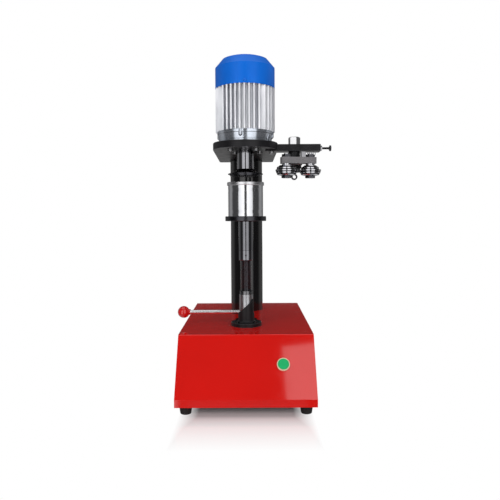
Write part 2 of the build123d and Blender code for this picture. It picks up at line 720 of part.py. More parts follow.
cam_screw = socket_screw(cam_screw_radius, cam_flange_height + cover_wall + 8, 4.6, 3.4)
add("cam_base_screws", *[Pos(x, y, flange_top) * cam_screw for x, y in cam_spots])
bush_bottom = plate_low - 14
bush = ring(bush_radius, rod_radius + running_fit, bush_bottom, bush_top)
bush += ring(bush_radius + 6, rod_radius + running_fit, bush_bottom, plate_low)
key_low = bush_bottom + 4
key_high = plate_low - 3
bush -= block(-key_width / 2, key_width / 2, 0, bush_radius + 2, key_low,
              key_high) - through(rod_radius - 1)
add("guide_bush", bush)
key_inner = rod_radius - key_depth + 0.2
add("guide_key", block(-key_width / 2 + 0.05, key_width / 2 - 0.05, key_inner, bush_radius + 1.5, key_low,
                       key_high))

follower = ring(follower_radius, rod_radius + running_fit, cam_low - 1, lock_nut_bottom - cam_gap)
for lift, turn in ((cam_gap, 0.0), (cam_gap, -2.0)):
    for half in both_ramps(lift, turn):
        follower -= half
handle_seat = follower_radius - 3
handle_hole = Pos(0, 0, handle_z) * Rot(0, -90, 0) * disc(handle_radius, handle_seat, cam_radius + 20)
add("cam_follower", follower - handle_hole)
rod_end = knob_x - knob_radius + 12
handle = Pos(0, 0, handle_z) * Rot(0, -90, 0) * disc(handle_radius, handle_seat, rod_end)
add("handle_rod", handle)
knob = Pos(-knob_x, 0, handle_z) * Sphere(knob_radius)
neck = Pos(0, 0, handle_z) * Rot(0, -90, 0) * disc(handle_radius + 2, knob_x - knob_radius - 1.5, knob_x)
knob = knob + neck - Pos(0, 0, handle_z) * Rot(0, -90, 0) * disc(handle_radius, 0, rod_end)
add("ball_knob", knob)

# Support bar, pivot and roller arm
bar = block(bar_seat, bar_end, -bar_half_width, bar_half_width, bar_bottom, bar_top)
bar = chamfer(bar.edges().filter_by(Axis.Z).group_by(Axis.X)[-1], 3)
bar -= through(pivot_radius, pivot_x)
bar_middle = (bar_top + bar_bottom) / 2
bar -= Pos(bar_end, 0, bar_middle) * Rot(0, 90, 0) * Cylinder(adjuster_radius + running_fit, 70)
for x, y in bar_screw_spots:
    bar -= through(bar_screw_radius, x, y)
add("support_bar", bar)
bar_screw = Rot(180, 0, 0) * socket_screw(bar_screw_radius, bar_screw_length)
add("head_screws", *[Pos(x, y, head_bottom) * flange_screw for x, y in flange_spots],
    *[Pos(x, y, bar_bottom) * bar_screw for x, y in bar_screw_spots])
adjuster = disc(adjuster_radius, -30, adjuster_reach - 5)
adjuster += turned((0, adjuster_reach - 6), (3.5, adjuster_reach - 6),
                   (adjuster_knob_radius, adjuster_reach - 4),
                   (adjuster_knob_radius, adjuster_reach - 1), (adjuster_knob_radius - 1, adjuster_reach),
                   (0, adjuster_reach))
add("adjusting_screw", Pos(bar_end, 0, bar_middle) * Rot(0, 90, 0) * adjuster)
stop_nut = hexagon(stop_nut_flats, 0, stop_nut_height) - through(adjuster_radius + running_fit)
add("stop_lock_nut", Pos(bar_end, 0, bar_middle) * Rot(0, 90, 0) * stop_nut)

pivot = Pos(pivot_x, 0, 0)
hub_top = bar_bottom - 0.3
hub_bottom = arm_bottom - hub_overhang
nut_top = hub_bottom - 0.3
nut_bottom = nut_top - pivot_nut_height
bolt_top = bar_top + pivot_head_height
pivot_head = hexagon(pivot_head_flats, bar_top, bolt_top)
pivot_head &= turned((0, bar_top), (pivot_head_flats, bar_top), (pivot_head_flats, bolt_top - 6),
                     (pivot_head_flats / 2 - 1, bolt_top), (0, bolt_top))
add("pivot_bolt", pivot * (pivot_head + disc(pivot_radius, nut_bottom, bar_top)))
eye_radius = 7.5
eye_hole = 4.0
eye_width = 6.0
eye_z = nut_bottom - 3 - eye_radius
eye = Cylinder(eye_radius, eye_width) - Cylinder(eye_hole, eye_width + 2)
eye = Pos(0, 0, eye_z) * Rot(90, 0, 0) * eye
eye += disc(5.0, eye_z + eye_radius - 1.5, nut_bottom)
eye += hexagon(pivot_head_flats, nut_bottom, nut_top) - disc(pivot_radius, nut_bottom, nut_top + 1)
add("pivot_eye_nut", pivot * eye)
pivot_bush = ring(hub_radius - hub_wall, pivot_radius + running_fit, hub_bottom, hub_top)
add("pivot_bush", pivot * pivot_bush)
arm_hub = ring(hub_radius, hub_radius - hub_wall, arm_top, hub_top)
arm_hub += ring(hub_radius + hub_wall, hub_radius - hub_wall, hub_bottom, arm_bottom)
add("arm_hub", pivot * arm_hub)

swing = pivot * Rot(0, 0, arm_rest_angle)
tee = Pos(0, -arm_stem) * Rectangle(arm_length, arm_width)
tee = fillet(tee.vertices(), 4)
tee += Pos(0, -arm_stem / 2) * Rectangle(arm_width + 4, arm_stem)
tee += Circle(hub_radius + 5)
roller_arm = Pos(0, 0, arm_bottom) * extrude(tee, arm_height)
roller_arm -= through(hub_radius - hub_wall)
roller_spots = [(side * roller_half_spacing, -arm_stem) for side in (-1, 1)]
for x, y in roller_spots:
    roller_arm -= through(axle_radius, x, y)
add("roller_arm", swing * roller_arm)

closest = pivot_x - hypot(roller_half_spacing, arm_stem)
groove_root = closest - seam_radius - groove_fit
neck_bottom = roller_top + 0.3
axle = disc(axle_radius, roller_bottom - under_nut_height - 0.5, arm_top + axle_nut_height + 2.5)
axle += disc(axle_collar_radius, neck_bottom, arm_bottom)
add("roller_axles", *[swing * Pos(x, y, 0) * axle for x, y in roller_spots])
axle_nut = hexagon(axle_nut_flats, arm_top, arm_top + axle_nut_height) - through(axle_radius)
under_nut = hexagon(under_nut_flats, roller_bottom - 0.3 - under_nut_height,
                    roller_bottom - 0.3) - through(axle_radius)
add("roller_nuts", *[swing * Pos(x, y, 0) * axle_nut for x, y in roller_spots],
    *[swing * Pos(x, y, 0) * under_nut for x, y in roller_spots])
sleeve = ring(roller_bore - running_fit, axle_radius, roller_bottom, roller_top)
add("roller_bearings", *[swing * Pos(x, y, 0) * sleeve for x, y in roller_spots])

groove_high = seam_top + 0.3
flange_low = groove_high + roller_above_seam * 0.33
flange_high = groove_high + roller_above_seam * 0.43


def roller(root_width, crown):
    """A seaming roller: a saucer with the seam groove under its lip and a flange above."""
    return turned((roller_bore, roller_bottom), (roller_bore + 5, roller_bottom),
                  (groove_root - 2, roller_bottom + 1), (groove_root, groove_high - root_width),
                  (groove_root, groove_high - 0.4), (roller_lip_radius, groove_high),
                  (roller_lip_radius, groove_high + 1.6), (roller_flange_radius, flange_low),
                  (roller_flange_radius, flange_high), (crown, flange_high + 0.8),
                  (crown - 1, roller_top - 4), (crown - 5, roller_top - 2), (crown - 7, roller_top),
                  (roller_bore, roller_top))


add("first_roller", swing * Pos(*roller_spots[0], 0) * roller(3.2, 23.0))
add("second_roller", swing * Pos(*roller_spots[1], 0) * roller(2.6, 21.0))
stop_x = roller_spots[1][0] - 17
stop_block = block(stop_x - 5, stop_x + 5, -arm_stem - 6, -arm_stem + 6, arm_top, arm_top + 12.5)
add("stop_block", swing * stop_block)

# Each piece is moved to the frame of the whole machine and written
shift = Pos(shift_x, shift_y, 0)
for name, shapes in pieces.items():
    solids = [solid for shape in shapes for solid in (shift * shape).solids()]
    export_step(solids[0] if len(solids) == 1 else Compound(children=solids), f"parts/{name}.step")
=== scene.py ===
import json
from math import atan, atan2, pi, radians, sqrt
import bmesh
import bpy
import numpy as np
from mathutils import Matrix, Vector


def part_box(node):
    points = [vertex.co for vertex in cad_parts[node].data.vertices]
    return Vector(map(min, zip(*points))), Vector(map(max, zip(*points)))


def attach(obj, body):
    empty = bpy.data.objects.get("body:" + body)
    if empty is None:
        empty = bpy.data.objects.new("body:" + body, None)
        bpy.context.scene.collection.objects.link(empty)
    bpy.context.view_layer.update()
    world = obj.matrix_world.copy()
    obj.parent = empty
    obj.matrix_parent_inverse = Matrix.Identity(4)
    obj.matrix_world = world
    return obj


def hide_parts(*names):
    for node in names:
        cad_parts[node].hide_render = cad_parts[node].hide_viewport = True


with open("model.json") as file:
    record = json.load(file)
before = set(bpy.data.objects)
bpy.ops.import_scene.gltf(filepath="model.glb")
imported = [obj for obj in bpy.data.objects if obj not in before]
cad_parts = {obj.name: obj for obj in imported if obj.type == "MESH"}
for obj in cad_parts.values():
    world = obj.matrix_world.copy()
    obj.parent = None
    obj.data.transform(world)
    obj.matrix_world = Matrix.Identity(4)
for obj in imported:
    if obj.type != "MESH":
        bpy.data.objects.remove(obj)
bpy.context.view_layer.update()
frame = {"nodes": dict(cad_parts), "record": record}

mm = 0.001


def spotOf(node):
    # middle of a CAD node's box, in metres
    low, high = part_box(node)
    return [(a + b) / 2 for a, b in zip(low, high)]


spindleX, spindleY = spotOf("chuck")[:2]   # the spindle and the lift share this axis


# Shader sockets as plain expressions: an operator on a Wire adds its Math node
class Wire:

    def __init__(self, graph, socket):
        self.graph = graph
        self.socket = socket

    def do(self, operation, *values):
        return self.graph.node("ShaderNodeMath", dict(operation=operation), dict(enumerate(values)))

    def __add__(self, other):
        return self.do("ADD", self, other)

    def __radd__(self, other):
        return self.do("ADD", other, self)

    def __sub__(self, other):
        return self.do("SUBTRACT", self, other)

    def __rsub__(self, other):
        return self.do("SUBTRACT", other, self)

    def __mul__(self, other):
        return self.do("MULTIPLY", self, other)

    def __rmul__(self, other):
        return self.do("MULTIPLY", other, self)

    def __abs__(self):
        return self.do("ABSOLUTE", self)

    def high(self, other):
        return self.do("MAXIMUM", self, other)


# wear grows as the rounded normal's dot product with the true one falls from flat to sharp
edgeWear = dict(samples=4, flat=0.995, sharp=0.9)


class Graph:   # the node tree of one material or of the world

    def __init__(self, owner):
        owner.use_nodes = True
        self.tree = owner.node_tree
        self.tree.nodes.clear()

    def put(self, socket, value):
        if isinstance(value, Wire):
            self.tree.links.new(value.socket, socket)
        elif socket.type == "RGBA" and len(value) == 3:
            socket.default_value = (*value, 1.0)
        else:
            socket.default_value = value

    def node(self, kind, settings=None, inputs=None, out=0):
        made = self.tree.nodes.new(kind)
        for name, value in (settings or {}).items():
            setattr(made, name, value)
        for name, value in (inputs or {}).items():
            self.put(made.inputs[name], value)
        return Wire(self, made.outputs[out])

    def parts(self, vector):
        split = self.node("ShaderNodeSeparateXYZ", {}, {0: vector})
        outputs = split.socket.node.outputs
        return [Wire(self, output) for output in outputs]

    def mix(self, share, first, second):
        return self.node("ShaderNodeMix", dict(data_type="RGBA"), {0: share, 6: first, 7: second}, 2)

    def place(self):   # Object coordinates, which every finished piece shares
        return self.node("ShaderNodeTexCoord", {}, {}, "Object")

    def noise(self, scale, detail=2.0, stretch=(1, 1, 1)):
        vector = self.node("ShaderNodeMapping", {}, {0: self.place(), 3: stretch})
        return self.node("ShaderNodeTexNoise", {}, {"Vector": vector, "Scale": scale, "Detail": detail})

    def span(self, value, low, high, toLow=0.0, toHigh=1.0):   # from one range to another, held at the ends
        return self.node("ShaderNodeMapRange", {}, {0: value, 1: low, 2: high, 3: toLow, 4: toHigh})

    def edge(self, radius):   # one at a corner, none on an open face
        bevel = self.node("ShaderNodeBevel", dict(samples=edgeWear["samples"]), {0: radius})
        true = self.node("ShaderNodeNewGeometry", {}, {}, "Normal")
        same = self.node("ShaderNodeVectorMath", dict(operation="DOT_PRODUCT"), {0: bevel, 1: true}, "Value")
        return self.span(same, edgeWear["flat"], edgeWear["sharp"])

    def bump(self, height, strength, distance):
        return self.node("ShaderNodeBump", {}, {"Height": height, "Strength": strength, "Distance": distance})

    def finish(self, shader, kind):
        output = self.tree.nodes.new(kind)
        self.tree.links.new(shader.socket, output.inputs["Surface"])


def material(name, build, **fixed):
    # build gives what varies over the surface, fixed what is the same all over it
    made = bpy.data.materials.new(name)
    graph = Graph(made)
    inputs = {key.replace("_", " "): value for key, value in fixed.items()}
    inputs.update(build(graph))
    graph.finish(graph.node("ShaderNodeBsdfPrincipled", {}, inputs), "ShaderNodeOutputMaterial")
    return made


def rgb(red, green, blue):
    # screen colour of 0 to 255 to the linear values of a shader
    shares = [value / 255 for value in (red, green, blue)]
    return tuple(v / 12.92 if v <= 0.04045 else ((v + 0.055) / 1.055) ** 2.4 for v in shares)


def dimmed(tone, share):
    return tuple(min(1.0, share * c) for c in tone)


print("frame loaded:", len(frame["nodes"]), "nodes")

paint = dict(tone=rgb(208, 20, 13), edgeTone=rgb(226, 52, 42), peelScale=900.0, peelDepth=0.02 * mm)


def redPaint(g):
    # gloss enamel: fine orange peel, faint clouds of dust, edges rubbed a little lighter
    cloud = g.noise(6.0, 3.0)
    tone = g.mix(g.span(cloud, 0.3, 0.7), paint["tone"], dimmed(paint["tone"], 0.93))
    rough = g.span(g.noise(40.0, 4.0), 0.3, 0.7, 0.04, 0.07)
    return {"Base Color": g.mix(g.edge(1.2 * mm) * 0.3, tone, paint["edgeTone"]), "Roughness": rough,
            "Normal": g.bump(g.noise(paint["peelScale"]), 0.1, paint["peelDepth"])}


column = dict(tone=rgb(7, 7, 8), smeared=rgb(14, 14, 16))


def blackGloss(g):
    # black enamel over a drawn tube: faint smears along it
    smear = g.noise(22.0, 3.0, (1, 1, 0.35))
    return {"Base Color": g.mix(g.span(smear, 0.35, 0.7), column["tone"], column["smeared"]),
            "Roughness": g.span(smear, 0.3, 0.75, 0.1, 0.17)}


plate = dict(tone=rgb(22, 22, 24), pale=rgb(31, 31, 33), rubbed=rgb(80, 80, 84))


def blackPlate(g):
    # oxide black on ground steel: soft mottling, fine grain, edges rubbed grey
    mottle = g.noise(55.0, 4.0)
    tone = g.mix(g.span(mottle, 0.3, 0.7), plate["tone"], plate["pale"])
    return {"Base Color": g.mix(g.edge(1.2 * mm) * 0.5, tone, plate["rubbed"]),
            "Roughness": g.span(mottle, 0.3, 0.7, 0.3, 0.42),
            "Normal": g.bump(g.noise(1400.0), 0.2, 0.03 * mm)}


castMetal = dict(tone=rgb(232, 234, 238), dull=rgb(206, 209, 214))


def castAluminium(g):
    # washed casting: sand grain and a cloudy tone
    cloud = g.noise(30.0, 4.0, (1, 1, 0.4))
    return {"Base Color": g.mix(g.span(cloud, 0.3, 0.7), castMetal["tone"], castMetal["dull"]),
            "Roughness": g.span(cloud, 0.3, 0.7, 0.34, 0.46),
            "Normal": g.bump(g.noise(900.0, 3.0), 0.3, 0.05 * mm)}


turnedShield = dict(tone=rgb(214, 220, 230), dull=rgb(190, 197, 208))


def machinedAluminium(g):
    # the shield's turned skin: fine rings across the axis over a cool tone
    stain = g.noise(24.0, 3.0)
    return {"Base Color": g.mix(g.span(stain, 0.3, 0.7), turnedShield["tone"], turnedShield["dull"]),
            "Roughness": g.span(stain, 0.3, 0.7, 0.12, 0.2),
            "Normal": g.bump(g.noise(300.0, 2.0, (0.02, 0.02, 6.0)), 0.15, 0.03 * mm)}


cover = dict(tone=rgb(4, 103, 208), deep=rgb(3, 94, 194))


def fanBlue(g):
    # satin blue enamel on pressed sheet, with an even orange peel
    cloud = g.noise(14.0, 3.0)
    return {"Base Color": g.mix(g.span(cloud, 0.3, 0.7), cover["tone"], cover["deep"]),
            "Roughness": g.span(cloud, 0.3, 0.7, 0.36, 0.44),
            "Normal": g.bump(g.noise(700.0), 0.15, 0.03 * mm)}


def turnedSteel(tone, roughLow, roughHigh, ridge):
    # steel off a lathe: fine rings across the Z axis, a stained tone, brighter edges
    def build(g):
        stain = g.noise(34.0, 4.0)
        colour = g.mix(g.span(stain, 0.35, 0.75), tone, dimmed(tone, 0.78))
        return {"Base Color": g.mix(g.edge(0.7 * mm) * 0.35, colour, dimmed(tone, 1.4)),
                "Roughness": g.span(stain, 0.3, 0.7, roughLow, roughHigh),
                "Normal": g.bump(g.noise(420.0, 2.0, (0.01, 0.01, 6.0)), ridge, 0.03 * mm)}
    return build


# painted shade bands where the sine of the height is under the first limit, painted highlight bands where it
# is over the second
roller = dict(pitch=5.2 * mm, shadeBandTo=-0.3, highlightBandFrom=0.2, bright=rgb(206, 206, 210), dark=rgb(62, 62, 66))


def paintedRollerBands(g):
    # roller: painted highlight bands between painted shade bands, by height, standing in for light on its
    # rims and shade in its grooves
    height = g.parts(g.place())[2]
    wave = g.node("ShaderNodeMath", dict(operation="SINE"), {0: height * (2 * pi / roller["pitch"])})
    onPaintedHighlight = g.span(wave, roller["shadeBandTo"], roller["highlightBandFrom"])
    stain = g.noise(60.0, 3.0)
    return {"Base Color": g.mix(onPaintedHighlight, roller["dark"], roller["bright"]),
            "Roughness": g.span(stain, 0.3, 0.7, 0.1, 0.18)}


coverScrew = dict(zincTo=0.715, paintFrom=0.718, zinc=rgb(178, 178, 180))   # heights in metres


def paintedScrews(g):
    # screws as high as the fan cover are painted over with it, and lower ones stay zinc
    height = g.parts(g.place())[2]
    onCover = g.span(height, coverScrew["zincTo"], coverScrew["paintFrom"])
    stain = g.noise(60.0, 3.0)
    return {"Base Color": g.mix(onCover, coverScrew["zinc"], cover["tone"]), "Metallic": 1.0 - onCover,
            "Roughness": g.span(stain, 0.3, 0.7, 0.3, 0.42)}


tin = dict(tone=rgb(222, 223, 226), dull=rgb(206, 207, 211))


def tinplate(g):
    # bright tin: long faint rolling lines and soft blooms
    bloom = g.noise(26.0, 3.0)
    return {"Base Color": g.mix(g.span(bloom, 0.3, 0.7), tin["tone"], tin["dull"]),
            "Roughness": g.span(bloom, 0.3, 0.7, 0.1, 0.16),
            "Normal": g.bump(g.noise(500.0, 2.0, (3.0, 3.0, 0.02)), 0.02, 0.02 * mm)}


def moulded(tone, roughLow=0.4, roughHigh=0.55, grain=700.0):
    # moulded plastic or rubber with a fine spark grain
    def build(g):
        cloud = g.noise(40.0, 3.0)
        return {"Base Color": g.mix(g.span(cloud, 0.3, 0.7), tone, dimmed(tone, 0.9)),
                "Roughness": g.span(cloud, 0.3, 0.7, roughLow, roughHigh),
                "Normal": g.bump(g.noise(grain, 3.0), 0.2, 0.04 * mm)}
    return build


def metal(name, tone, roughLow, roughHigh, ridge=0.3):
    return material(name, turnedSteel(rgb(*tone), roughLow, roughHigh, ridge), Metallic=1.0)


finishes = dict(
    red_paint=material("redPaint", redPaint, Coat_Weight=0.5, Coat_Roughness=0.03),
    black_gloss=material("blackGloss", blackGloss, Coat_Weight=0.3, Coat_Roughness=0.05),
    black_plate=material("blackPlate", blackPlate, Specular_IOR_Level=0.2),
    bare_plate=material("primedPlate", moulded(rgb(52, 52, 55), 0.5, 0.6)),
    foot_rubber=material("footRubber", moulded(rgb(30, 27, 27), 0.55, 0.75, 500.0), Specular_IOR_Level=0.3),
    zinc_screws=metal("zincScrews", (178, 178, 180), 0.28, 0.42),
    gland_plastic=material("glandPlastic", moulded(rgb(30, 30, 32))),
    button_ring=material("buttonRing", moulded(rgb(238, 226, 190), 0.22, 0.32), Coat_Weight=0.3),
    button_green=material("buttonGreen", moulded(rgb(26, 176, 104), 0.28, 0.36), Specular_IOR_Level=0.3),
    switch_plastic=material("switchPlastic", moulded(rgb(44, 44, 46))),
    cast_aluminium=material("castAluminium", castAluminium, Metallic=0.6),
    fan_blue=material("fanBlue", fanBlue, Specular_IOR_Level=0.22),
    fan_plastic=material("fanPlastic", moulded(rgb(40, 40, 42))),
    stator_steel=metal("statorSteel", (150, 150, 152), 0.4, 0.5),
    copper=metal("copperWire", (190, 110, 60), 0.3, 0.45),
    bearing_steel=metal("bearingSteel", (205, 205, 208), 0.12, 0.2),
    machined_steel=metal("machinedSteel", (206, 206, 210), 0.18, 0.3),
    dark_steel=metal("darkSteel", (74, 74, 78), 0.2, 0.3),
    bright_bolt=metal("brightBolt", (222, 222, 224), 0.1, 0.18, 0.1),
    bronze=metal("bronze", (170, 128, 70), 0.3, 0.4),
    key_steel=metal("keySteel", (170, 170, 172), 0.3, 0.4),
    arm_grey=material("armGrey", moulded(rgb(106, 106, 108), 0.5, 0.62, 600.0)),
    handle_chrome=metal("handleChrome", (240, 240, 242), 0.22, 0.27, 0.0),
    knob_red=material("knobRed", moulded(rgb(200, 16, 16), 0.14, 0.2), Coat_Weight=0.6, Coat_Roughness=0.03),
    tinplate=material("tinplate", tinplate, Metallic=1.0))

# pieces whose finish differs from the rest of their slot
ownFinish = dict(
    end_shield=material("machinedAluminium", machinedAluminium, Metallic=0.9),
    spindle_adapter=metal("blackChrome", (150, 150, 154), 0.08, 0.13, 0.06),
    lift_shaft=metal("bluedSteel", (122, 122, 126), 0.08, 0.13, 0.05),
    lift_collar=metal("bluedCollar", (132, 132, 136), 0.1, 0.16, 0.1),
    lift_lock_nut=metal("darkNut", (120, 120, 122), 0.2, 0.32),
    # the rollers get painted highlight and painted shade bands by height
    first_roller=material("rollerPaintedBands", paintedRollerBands, Metallic=1.0),
    stop_block=metal("stopBlock", (150, 150, 153), 0.3, 0.4),
    cam_base_screws=metal("blackScrews", (58, 58, 60), 0.25, 0.35),
    motor_cover_screws=material("paintedScrews", paintedScrews),
    can_end=metal("tinEnd", (222, 222, 225), 0.3, 0.38, 0.1),
    cam_follower=metal("turnedSleeve", (176, 177, 180), 0.26, 0.38, 0.5))
ownFinish["second_roller"] = ownFinish["first_roller"]

nodeSlot = {part["node"]: part["material_slot"] for part in frame["record"]["subparts"]}
for name, item in frame["nodes"].items():
    item.data.materials.clear()
    item.data.materials.append(ownFinish.get(name, finishes[nodeSlot[name]]))
print("finishes:", len(finishes) + len(ownFinish))


def plainMesh(name, points, faces):
    mesh = bpy.data.meshes.new(name)
    mesh.from_pydata(points, [], faces)
    made = bpy.data.objects.new(name, mesh)
    bpy.context.scene.collection.objects.link(made)
    return made


# fades in metres from the base's outline, under zero inside it; nearShare is the white mixed in there
# tone is a pink tint on the lit floor, a painted reflection of the red base, seen only near it
stage = dict(half=30.0, tone=(0.92, 0.77, 0.78), rough=0.12, ior=2.3, sideStart=-0.05, sideFade=-0.008,
             nearFade=0.06, farFade=0.17, nearWeight=0.55, nearShare=0.03)


def makeFloor():
    # lit floor near the base, so that it keeps the shadow, and plain white for the camera further out
    half = stage["half"]
    corners = [(-half, -half, 0), (half, -half, 0), (half, half, 0), (-half, half, 0)]
    floor = plainMesh("floor", corners, [(0, 1, 2, 3)])
    paleFloor = bpy.data.materials.new("paleFloor")
    g = Graph(paleFloor)
    low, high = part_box("base_cover")
    x, y = g.parts(g.place())[:2]
    aside = abs(x - (low[0] + high[0]) / 2) - (high[0] - low[0]) / 2
    ahead = abs(y - (low[1] + high[1]) / 2) - (high[1] - low[1]) / 2
    close = g.span(ahead, 0.0, stage["nearFade"])
    beyond = g.span(ahead, stage["nearFade"], stage["farFade"])
    far = stage["nearWeight"] * close + (1.0 - stage["nearWeight"]) * beyond
    far = far.high(g.span(aside, stage["sideStart"], stage["sideFade"]))
    path = g.node("ShaderNodeLightPath", {}, {}, "Is Camera Ray")
    glossy = Wire(g, path.socket.node.outputs["Is Glossy Ray"])
    # the lit floor's pink tone is a painted reflection of the red base
    lit = g.node("ShaderNodeBsdfPrincipled", {},
                 {"Base Color": stage["tone"], "Roughness": stage["rough"], "IOR": stage["ior"]})
    glow = g.node("ShaderNodeEmission", {}, {"Color": (1.0, 1.0, 1.0), "Strength": 1.0})
    clear = g.node("ShaderNodeBsdfTransparent", {}, {"Color": (1.0, 1.0, 1.0)})
    share = path * (stage["nearShare"] + (1.0 - stage["nearShare"]) * far)
    seen = g.node("ShaderNodeMixShader", {}, {0: share, 1: lit, 2: glow})
    # polished faces look through the far part of the floor, to the world below it
    shown = g.node("ShaderNodeMixShader", {}, {0: glossy * far, 1: seen, 2: clear})
    g.finish(shown, "ShaderNodeOutputMaterial")
    floor.data.materials.append(paleFloor)


# the studio as polished faces see it, by compass degrees from the front and height of the direction:
# two tall softboxes ahead, dark cards beside them, a grey room behind with a low softbox at the back
sky = dict(ambient=0.42, dark=0.07, side=0.34, rear=0.035, nearEdge=8.0, nearEdgeHigh=5.2, leanFrom=0.4,
           leanTo=0.7, farEdge=47.0, nearLevel=1.6, farLevel=1.05, boxLow=-0.55, topRight=0.798,
           topLeft=0.66, sideStart=92.0, sideEnd=104.0, rearStart=120.0, rearEnd=165.0, backBox=158.0,
           backTop=0.13, backLevel=0.6, over=0.9, overFrom=0.84, overTo=0.92, under=0.3, underFrom=-0.55,
           underTo=-0.65)
# how far each edge fades: near, far and back in degrees, seam sideways, the others in height of direction
fade = dict(near=0.2, far=2.0, back=4.0, seam=0.01, low=0.05, top=0.001, backTop=0.03)
# a dark band of the back softbox, by its depth below level, which keeps it off the plate's underside
darkBand = dict(depth=0.11, dark=0.055, light=0.075)


def makeWorld():
    world = bpy.data.worlds.new("studio")
    bpy.context.scene.world = world
    g = Graph(world)
    x, y, z = g.parts(g.node("ShaderNodeTexCoord", {}, {}, "Generated"))
    turn = abs(g.node("ShaderNodeMath", dict(operation="ARCTAN2"), {0: x, 1: y * -1.0})) * (180 / pi)
    near = g.span(z, sky["leanFrom"], sky["leanTo"], sky["nearEdge"], sky["nearEdgeHigh"])
    top = g.span(x, -fade["seam"], fade["seam"], sky["topLeft"], sky["topRight"])
    inBox = g.span(turn - near, -fade["near"], fade["near"])
    inBox = inBox * g.span(turn, sky["farEdge"] + fade["far"], sky["farEdge"] - fade["far"])
    inBox = inBox * g.span(z, sky["boxLow"] - fade["low"], sky["boxLow"])
    inBox = inBox * g.span(z - top, fade["top"], -fade["top"])
    front = inBox * g.span(turn, sky["nearEdge"], sky["farEdge"], sky["nearLevel"], sky["farLevel"])
    room = g.span(turn, sky["sideStart"], sky["sideEnd"], sky["dark"], sky["side"])
    room = room - g.span(turn, sky["rearStart"], sky["rearEnd"], 0.0, sky["side"] - sky["rear"])
    back = g.span(turn, sky["backBox"], sky["backBox"] + fade["back"])
    back = back * g.span(z, sky["backTop"] + fade["backTop"], sky["backTop"])
    back = back * g.span(abs(z + darkBand["depth"]), darkBand["dark"], darkBand["light"])
    polished = front + room + back * sky["backLevel"]
    polished = polished + g.span(z, sky["overFrom"], sky["overTo"]) * sky["over"]
    polished = polished + g.span(z, sky["underFrom"], sky["underTo"]) * sky["under"]
    path = g.node("ShaderNodeLightPath", {}, {}, "Is Camera Ray")
    rays = path.socket.node.outputs
    clear = path.high(Wire(g, rays["Is Transmission Ray"]))
    glossy = Wire(g, rays["Is Glossy Ray"])
    level = glossy * polished + (1.0 - glossy) * sky["ambient"]
    level = level * (1.0 - clear) + clear
    g.finish(g.node("ShaderNodeBackground", {}, {"Color": (1.0, 1.0, 1.0), "Strength": level}),
             "ShaderNodeOutputWorld")


lamps = dict(
    keyLeft=dict(place=(-1.6, -2.4, 1.3), size=1.2, power=30.0),
    keyRight=dict(place=(1.6, -2.4, 1.3), size=1.2, power=30.0),
    overhead=dict(place=(0.0, 0.1, 3.0), size=2.2, power=15.0),
    backFill=dict(place=(0.3, 2.7, 1.2), size=1.6, power=26.0))
lampAim = (0.0, 0.0, 0.4)


def makeLamps():
    for name, lamp in lamps.items():
        light = bpy.data.lights.new(name, "AREA")
        light.shape = "SQUARE"
        light.size = lamp["size"]
        light.energy = lamp["power"]
        made = bpy.data.objects.new(name, light)
        made.location = lamp["place"]
        aim = np.array(lampAim) - np.array(lamp["place"])
        flat = sqrt(aim[0] ** 2 + aim[1] ** 2)
        made.rotation_euler = (atan2(flat, -aim[2]), 0.0, atan2(aim[0], -aim[1]) + pi)
        made.visible_glossy = False   # polished faces see the world's softboxes instead
        bpy.context.scene.collection.objects.link(made)


# place: right of and ahead of the spindle, and height above the floor, in metres
# aim: pixels is the focal length in an image frame pixels wide, down and across are in the same pixels
view = dict(right=0.0125, ahead=1.3225, height=0.428, frame=500, pixels=545.0, down=34.6, across=0.9,
            roll=0.3, sensor=36.0, reach=200.0)


def makeCamera():
    lens = bpy.data.cameras.new("frontView")
    lens.sensor_width = view["sensor"]
    lens.lens = view["pixels"] / view["frame"] * lens.sensor_width
    lens.clip_end = view["reach"]
    made = bpy.data.objects.new("frontView", lens)
    made.location = (spindleX + view["right"], spindleY - view["ahead"], view["height"])
    tilt = pi / 2 - atan(view["down"] / view["pixels"])
    made.rotation_euler = (tilt, radians(view["roll"]), atan(view["across"] / view["pixels"]))
    bpy.context.scene.collection.objects.link(made)
    bpy.context.scene.camera = made


makeFloor()
makeWorld()
makeLamps()
makeCamera()
bpy.context.scene.view_settings.view_transform = "Standard"
print("studio ready")


def gridMesh(name, points, smooth):
    # array of points (rings, points round a ring, 3) to a mesh, each ring closed on itself
    rings, around = points.shape[:2]
    ring, spot = np.meshgrid(np.arange(rings - 1), np.arange(around), indexing="ij")
    here, ahead = ring * around, (ring + 1) * around
    nextSpot = (spot + 1) % around
    faces = np.stack([here + spot, ahead + spot, ahead + nextSpot, here + nextSpot], -1)
    mesh = bpy.data.meshes.new(name)
    flat = points.reshape(-1, 3)
    mesh.vertices.add(len(flat))
    mesh.vertices.foreach_set("co", np.ascontiguousarray(flat, dtype=np.float32).ravel())
    mesh.loops.add(faces.size)
    mesh.loops.foreach_set("vertex_index", np.ascontiguousarray(faces, dtype=np.int32).ravel())
    mesh.polygons.add(faces.size // 4)
    mesh.polygons.foreach_set("loop_start", np.arange(faces.size // 4, dtype=np.int32) * 4)
    mesh.polygons.foreach_set("use_smooth", np.full(faces.size // 4, smooth))
    mesh.update(calc_edges=True)
    mesh.validate()
    made = bpy.data.objects.new(name, mesh)
    bpy.context.scene.collection.objects.link(made)
    return made


def weld(made, distance=1e-6):
    # merge doubles and turn every face outwards
    work = bmesh.new()
    work.from_mesh(made.data)
    bmesh.ops.remove_doubles(work, verts=work.verts, dist=distance)
    bmesh.ops.recalc_face_normals(work, faces=work.faces)
    work.to_mesh(made.data)
    work.free()
    made.data.update()


def capped(name, rings, smooth=True):
    # closed tube: rings of points, both ends drawn to their middles
    first = np.repeat(rings[:1].mean(axis=1, keepdims=True), rings.shape[1], axis=1)
    last = np.repeat(rings[-1:].mean(axis=1, keepdims=True), rings.shape[1], axis=1)
    made = gridMesh(name, np.concatenate([first, rings, last]), smooth)
    weld(made)
    return made


